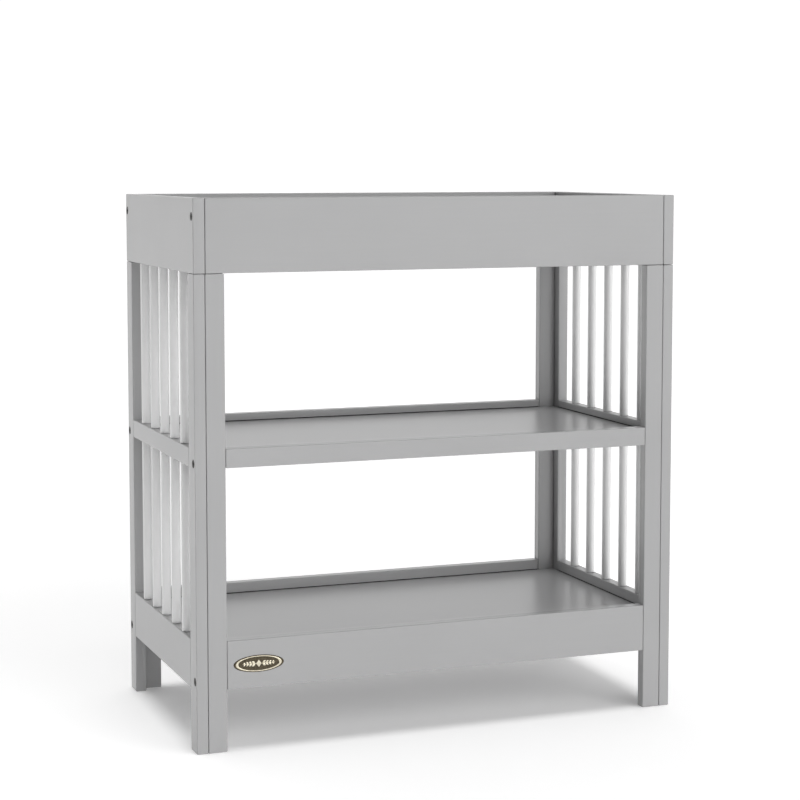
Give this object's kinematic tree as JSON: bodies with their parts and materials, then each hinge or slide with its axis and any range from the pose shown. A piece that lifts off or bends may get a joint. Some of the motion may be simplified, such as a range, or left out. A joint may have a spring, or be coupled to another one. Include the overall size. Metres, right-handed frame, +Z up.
{
  "type": "changing table",
  "caption": "Open baby changing table: a pad tray on four L-shaped legs, two shelves and open ends filled with round spindles.",
  "frame": {"origin": "on the floor, under the middle of the table", "axes": "+Z up, +X along the width to the right of someone facing the front, -Y towards that person, so the badge faces -Y"},
  "size_m": [0.878, 0.4698, 0.92],
  "materials": {
    "grey_painted_wood": "smooth grey semi-gloss paint",
    "white_painted_wood": "smooth white semi-gloss paint",
    "dark_bronze_bolt": "dark bronze plated steel",
    "zinc_plated_nut": "zinc plated steel",
    "antique_brass_badge": "antiqued brass"
  },
  "bodies": {
    "root": {"badge": "antique_brass_badge", "bolt_low_back_left": "dark_bronze_bolt", "bolt_low_back_right": "dark_bronze_bolt", "bolt_low_front_left": "dark_bronze_bolt", "bolt_low_front_right": "dark_bronze_bolt", "bolt_mid_back_left": "dark_bronze_bolt", "bolt_mid_back_right": "dark_bronze_bolt", "bolt_mid_front_left": "dark_bronze_bolt", "bolt_mid_front_right": "dark_bronze_bolt", "bolt_tray_back_left": "dark_bronze_bolt", "bolt_tray_back_right": "dark_bronze_bolt", "bolt_tray_front_left": "dark_bronze_bolt", "bolt_tray_front_right": "dark_bronze_bolt", "cross_nut_tray_back_left": "zinc_plated_nut", "cross_nut_tray_back_right": "zinc_plated_nut", "cross_nut_tray_front_left": "zinc_plated_nut", "cross_nut_tray_front_right": "zinc_plated_nut", "end_rail_low_left": "grey_painted_wood", "end_rail_low_right": "grey_painted_wood", "end_rail_mid_left": "grey_painted_wood", "end_rail_mid_right": "grey_painted_wood", "leg_back_left": "grey_painted_wood", "leg_back_right": "grey_painted_wood", "leg_front_left": "grey_painted_wood", "leg_front_right": "grey_painted_wood", "shelf_low": "grey_painted_wood", "shelf_mid": "grey_painted_wood", "shelf_rail_low_back": "grey_painted_wood", "shelf_rail_low_front": "grey_painted_wood", "shelf_rail_mid_back": "grey_painted_wood", "shelf_rail_mid_front": "grey_painted_wood", "spindle_lower_left_1": "white_painted_wood", "spindle_lower_left_2": "white_painted_wood", "spindle_lower_left_3": "white_painted_wood", "spindle_lower_left_4": "white_painted_wood", "spindle_lower_left_5": "white_painted_wood", "spindle_lower_right_1": "white_painted_wood", "spindle_lower_right_2": "white_painted_wood", "spindle_lower_right_3": "white_painted_wood", "spindle_lower_right_4": "white_painted_wood", "spindle_lower_right_5": "white_painted_wood", "spindle_upper_left_1": "white_painted_wood", "spindle_upper_left_2": "white_painted_wood", "spindle_upper_left_3": "white_painted_wood", "spindle_upper_left_4": "white_painted_wood", "spindle_upper_left_5": "white_painted_wood", "spindle_upper_right_1": "white_painted_wood", "spindle_upper_right_2": "white_painted_wood", "spindle_upper_right_3": "white_painted_wood", "spindle_upper_right_4": "white_painted_wood", "spindle_upper_right_5": "white_painted_wood", "stile_back_left": "grey_painted_wood", "stile_back_right": "grey_painted_wood", "stile_front_left": "grey_painted_wood", "stile_front_right": "grey_painted_wood", "tray_panel": "grey_painted_wood", "tray_rail_back": "grey_painted_wood", "tray_rail_front": "grey_painted_wood", "tray_side_left": "grey_painted_wood", "tray_side_right": "grey_painted_wood"}
  },
  "joints": []
}
